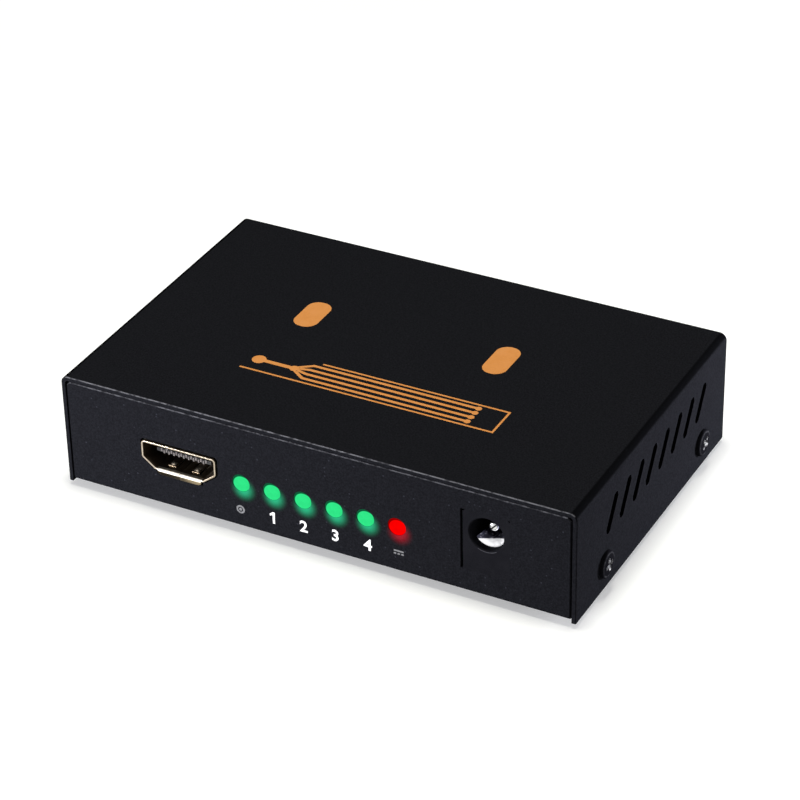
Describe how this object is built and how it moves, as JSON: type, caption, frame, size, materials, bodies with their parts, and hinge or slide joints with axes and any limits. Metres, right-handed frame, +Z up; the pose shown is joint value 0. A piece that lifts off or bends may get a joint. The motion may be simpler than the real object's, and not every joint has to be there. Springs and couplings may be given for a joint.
{
  "type": "hdmi splitter",
  "caption": "Small black folded sheet-metal box that copies a video input to its outputs, with indicator lamps and a barrel power inlet in front and slanted vents in its sides.",
  "frame": {"origin": "centre of the bounding box's bottom, on the surface that the feet stand on", "axes": "+X to the right along the front panel, -Y out of the front panel, +Z up"},
  "size_m": [0.102, 0.0648, 0.023],
  "materials": {
    "case_coat": "fine textured powder coat",
    "black_screw": "glossy black finish",
    "zinc_steel": "bright zinc plate",
    "foot_rubber": "matt",
    "board_laminate": "solder mask, satin",
    "socket_gold": "bright gold plate",
    "socket_insulator": "matt moulded",
    "contact_metal": "bright plated strip",
    "jack_plastic": "satin moulded",
    "jack_metal": "nickel plate",
    "lamp_green": "diffused clear moulding",
    "lamp_red": "diffused clear moulding",
    "tinned_lead": "tinned",
    "chip_resin": "matt moulded",
    "pad_silicone": "matt",
    "sink_aluminium": "extruded",
    "coil_ferrite": "pressed powder",
    "can_aluminium": "satin sleeve-free can",
    "crystal_steel": "satin can",
    "ceramic_tan": "sintered ceramic"
  },
  "bodies": {
    "root": {"base_tray": "case_coat", "board_posts": "zinc_steel", "board_screws": "zinc_steel", "capacitor_base": "chip_resin", "capacitor_can": "can_aluminium", "chip_capacitors": "ceramic_tan", "chip_resistors": "chip_resin", "control_chip": "chip_resin", "cover_screws": "black_screw", "crystal": "crystal_steel", "heat_sink": "sink_aluminium", "input_contacts": "contact_metal", "input_insulator": "socket_insulator", "input_lamp": "lamp_green", "input_shell": "socket_gold", "jack_housing": "jack_plastic", "jack_pin": "jack_metal", "jack_sleeve": "jack_metal", "jack_switch": "jack_metal", "lamp_leads": "tinned_lead", "main_board": "board_laminate", "output_1_contacts": "contact_metal", "output_1_insulator": "socket_insulator", "output_1_lamp": "lamp_green", "output_1_shell": "socket_gold", "output_2_contacts": "contact_metal", "output_2_insulator": "socket_insulator", "output_2_lamp": "lamp_green", "output_2_shell": "socket_gold", "output_3_contacts": "contact_metal", "output_3_insulator": "socket_insulator", "output_3_lamp": "lamp_green", "output_3_shell": "socket_gold", "output_4_contacts": "contact_metal", "output_4_insulator": "socket_insulator", "output_4_lamp": "lamp_green", "output_4_shell": "socket_gold", "port_guards": "chip_resin", "power_inductor": "coil_ferrite", "power_lamp": "lamp_red", "regulator_leads": "tinned_lead", "regulators": "chip_resin", "rubber_feet": "foot_rubber", "splitter_chip": "chip_resin", "thermal_pad": "pad_silicone", "top_cover": "case_coat"}
  },
  "joints": []
}
